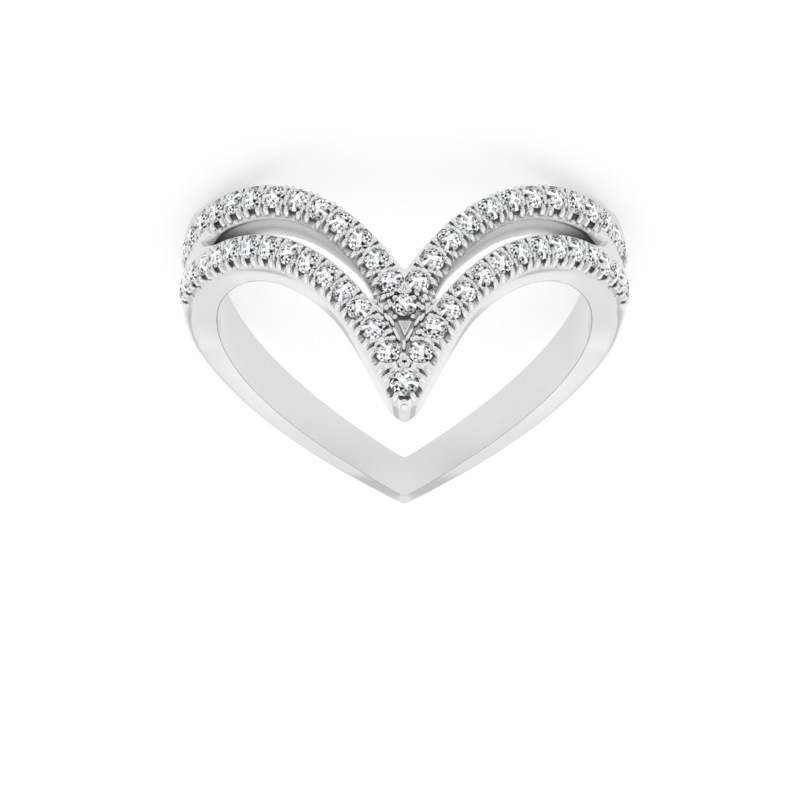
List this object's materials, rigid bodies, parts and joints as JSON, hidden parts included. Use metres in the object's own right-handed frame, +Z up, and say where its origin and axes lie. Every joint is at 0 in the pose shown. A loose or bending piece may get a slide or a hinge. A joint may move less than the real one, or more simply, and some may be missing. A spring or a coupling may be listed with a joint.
{
  "type": "chevron ring",
  "caption": "V-shaped finger ring lying on its side, its head split into two stone-set V rows that meet at the shoulders and at the centre.",
  "frame": {"origin": "centre of the footprint of the ring lying on its side, on the floor", "axes": "+Z up, close to the finger's axis, towards the V tips; -Y towards the stone-set head; +X across the ring"},
  "size_m": [0.0206, 0.0205, 0.0135],
  "materials": {
    "polished_metal": "mirror polished rhodium-white metal",
    "clear_stone": "clear colourless round brilliants, polished facets"
  },
  "bodies": {
    "root": {"band": "polished_metal", "front_stones": "clear_stone", "rear_stones": "clear_stone"}
  },
  "joints": []
}
